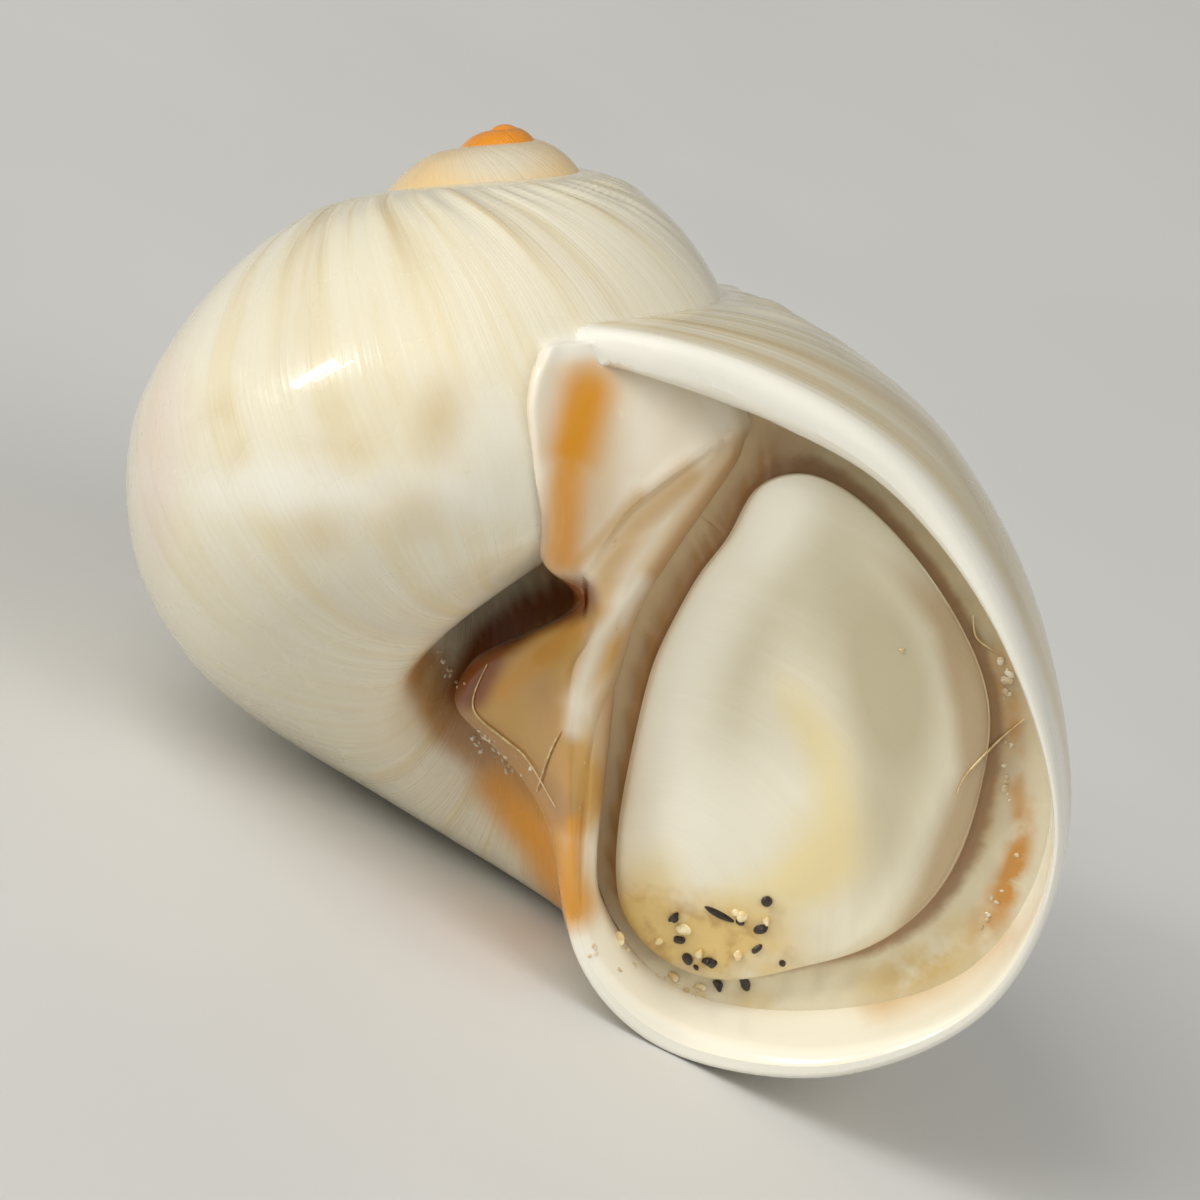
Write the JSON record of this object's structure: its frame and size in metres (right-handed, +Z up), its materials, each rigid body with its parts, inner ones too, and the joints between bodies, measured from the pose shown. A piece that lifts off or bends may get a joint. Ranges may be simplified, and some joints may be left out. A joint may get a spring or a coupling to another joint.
{
  "type": "moon snail shell",
  "caption": "Globular coiled sea snail shell with a wide open aperture, a deep umbilicus and its operculum in place, standing on its base.",
  "frame": {"origin": "Middle of the bounding box, at the level of the surface that the shell stands on.", "axes": "+Z up, the aperture faces -Y and a little up, and +X points to the outer lip."},
  "size_m": [0.0406, 0.0268, 0.0284],
  "materials": {
    "shell": "gloss",
    "operculum": "gloss"
  },
  "bodies": {
    "root": {"shell": "shell", "operculum": "operculum"}
  },
  "joints": []
}
